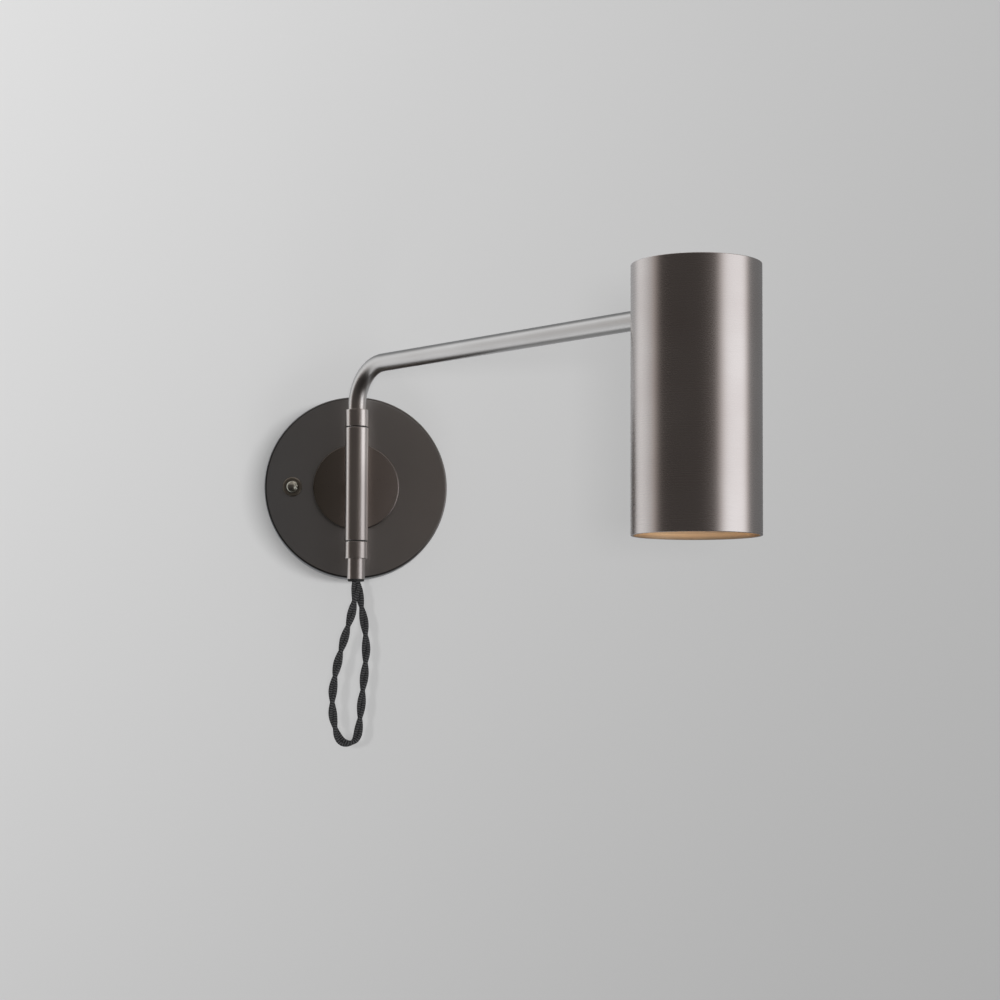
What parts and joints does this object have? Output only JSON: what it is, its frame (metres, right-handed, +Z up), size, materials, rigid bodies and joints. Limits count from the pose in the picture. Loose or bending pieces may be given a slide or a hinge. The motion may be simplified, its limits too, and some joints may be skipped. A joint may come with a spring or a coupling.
{
  "type": "wall reading lamp",
  "caption": "Wall reading lamp: round plate with a push switch, swinging bent tube arm on a vertical sleeve, plain cylinder shade that tilts, and a loose fabric cord loop.",
  "frame": {"origin": "middle of the round plate, on the wall's surface, between the bracket's two slots", "axes": "+Z up the wall, +Y into the wall, +X to the right for someone who faces the lamp"},
  "size_m": [0.2316, 0.2591, 0.2267],
  "materials": {
    "plate_metal": "dark gunmetal, satin",
    "boss_metal": "dark gunmetal, satin, turned edge",
    "bright_metal": "black nickel, polished",
    "shade_metal": "black nickel outside with a fine brushed grain, brass-coloured inside",
    "steel": "zinc-plated",
    "spring_steel": "bright wire and strip",
    "brass": "plain",
    "bush_plastic": "black, low friction",
    "black_rubber": "black, matte",
    "black_plastic": "black, satin",
    "block_plastic": "natural white",
    "cord_fabric": "black, fine braid",
    "wire_plastic": "insulated cores",
    "ceramic": "white, unglazed",
    "lamp_plastic": "white",
    "lamp_glass": "frosted"
  },
  "bodies": {
    "wall": {"wall_plate": "plate_metal", "boss_disc": "boss_metal", "standoff_stem": "bright_metal", "stem_washer": "steel", "stem_nut": "steel", "wall_bracket": "steel", "rim_screws": "steel", "earth_washer": "brass", "earth_screw": "steel", "terminal_block": "block_plastic", "terminal_clamps": "brass", "terminal_screws": "brass", "block_screw": "steel", "switch_bezel": "bright_metal", "switch_spring": "spring_steel", "switch_nut": "steel", "switch_body": "black_plastic", "switch_tags": "brass", "pivot_barrel": "bright_metal", "upper_bush": "bush_plastic", "lower_bush": "bush_plastic", "cord_grommet": "black_rubber", "cord_tie": "black_plastic", "cord_tail": "cord_fabric", "plate_leads": "wire_plastic", "cord_loop": "cord_fabric"},
    "button": {"switch_button": "bright_metal"},
    "arm": {"upper_collar": "bright_metal", "lower_collar": "bright_metal", "collar_screws": "steel", "arm_tube": "bright_metal", "arm_lead": "cord_fabric", "cord_bush": "black_rubber", "swivel_stud": "bright_metal", "stop_washer": "steel", "wave_washer": "spring_steel", "swivel_nut": "steel"},
    "head": {"outer_saddle": "bright_metal", "inner_saddle": "steel", "stop_pin": "steel", "friction_washers": "bush_plastic", "shade_tube": "shade_metal", "top_cap": "shade_metal", "holder_pillars": "steel", "lampholder": "ceramic", "holder_screws": "steel", "holder_leads": "wire_plastic", "bulb_base": "lamp_plastic", "bulb_body": "lamp_plastic", "bulb_lens": "lamp_glass", "bulb_pins": "brass"}
  },
  "joints": [
    {"name": "arm_swing", "type": "hinge", "parent": "wall", "child": "arm", "pos_m": [0, -0.0379, 0], "axis": [0, 0, 1], "range_deg": [-128.4, 51.6]},
    {"name": "head_tilt", "type": "hinge", "parent": "arm", "child": "head", "pos_m": [0, -0.0379, 0.0639], "axis": [0.6211, -0.7837, 0], "range_deg": [-165, 165]},
    {"name": "button_press", "type": "slide", "parent": "wall", "child": "button", "axis": [0, 1, 0], "range_m": [0, 0.0015], "stiffness_N_per_m": 600, "springref_m": -0.001, "deforming": ["switch_spring"]}
  ]
}
